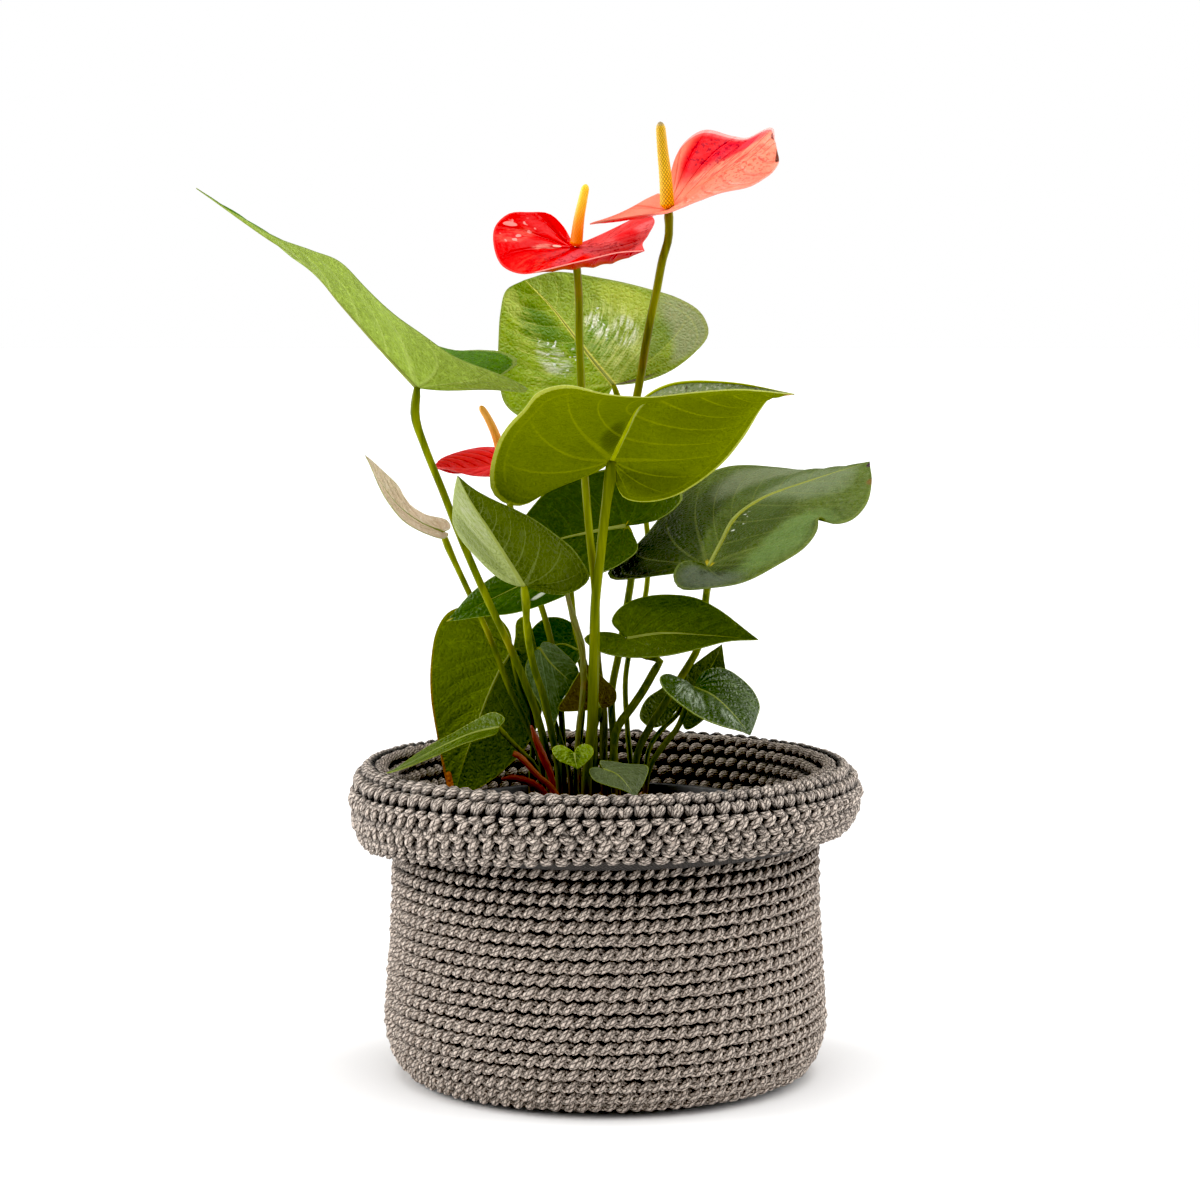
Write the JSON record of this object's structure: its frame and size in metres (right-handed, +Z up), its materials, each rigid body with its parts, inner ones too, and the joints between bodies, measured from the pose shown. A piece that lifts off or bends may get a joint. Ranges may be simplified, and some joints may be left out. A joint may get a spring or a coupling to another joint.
{
  "type": "potted anthurium",
  "caption": "Flowering anthurium with heart-shaped leaves and glossy spathes, in a black nursery pot inside a round crocheted cord basket with a rolled collar.",
  "frame": {"origin": "middle of the basket's flat underside, on the surface it stands on", "axes": "+Z up; -Y towards the viewer of the picture; +X to the picture's right"},
  "size_m": [0.3355, 0.2508, 0.4726],
  "materials": {
    "cord": "crocheted braided cord, matt",
    "black_plastic": "satin",
    "soil": "loose peat and bark",
    "leaf_green": "semi-gloss leaf",
    "leaf_dark": "glossy leaf",
    "leaf_olive": "satin leaf",
    "spathe_red": "waxy gloss",
    "spathe_salmon": "waxy gloss",
    "spadix_yellow": "beaded, satin",
    "stem_green": "semi-gloss stem",
    "sheath_brown": "dry sheath"
  },
  "bodies": {
    "root": {"basket": "cord", "nursery_pot": "black_plastic", "soil": "soil", "leaf_far_left": "leaf_green", "leaf_pale_young": "leaf_green", "leaf_back": "leaf_green", "leaf_front_tall": "leaf_green", "leaf_right_large": "leaf_dark", "leaf_front_left": "leaf_green", "leaf_behind_front_left": "leaf_dark", "leaf_dark_middle": "leaf_dark", "leaf_right_middle": "leaf_dark", "leaf_right_low_upright": "leaf_green", "leaf_right_low_glossy": "leaf_green", "leaf_twisted_centre": "leaf_green", "leaf_hanging_left": "leaf_green", "leaf_rim_left": "leaf_green", "leaf_small_back": "leaf_dark", "leaf_olive_centre": "leaf_olive", "leaf_tiny_heart": "leaf_green", "leaf_low_front": "leaf_green", "bloom_centre_spathe": "spathe_red", "bloom_centre_spadix": "spadix_yellow", "bloom_centre_peduncle": "stem_green", "bloom_upper_right_spathe": "spathe_salmon", "bloom_upper_right_spadix": "spadix_yellow", "bloom_upper_right_peduncle": "stem_green", "bloom_left_spathe": "spathe_red", "bloom_left_spadix": "spadix_yellow", "bloom_left_peduncle": "stem_green", "sheath_pointed": "sheath_brown", "sheath_red": "sheath_brown", "sheath_low": "sheath_brown", "stub_dry": "sheath_brown"}
  },
  "joints": []
}
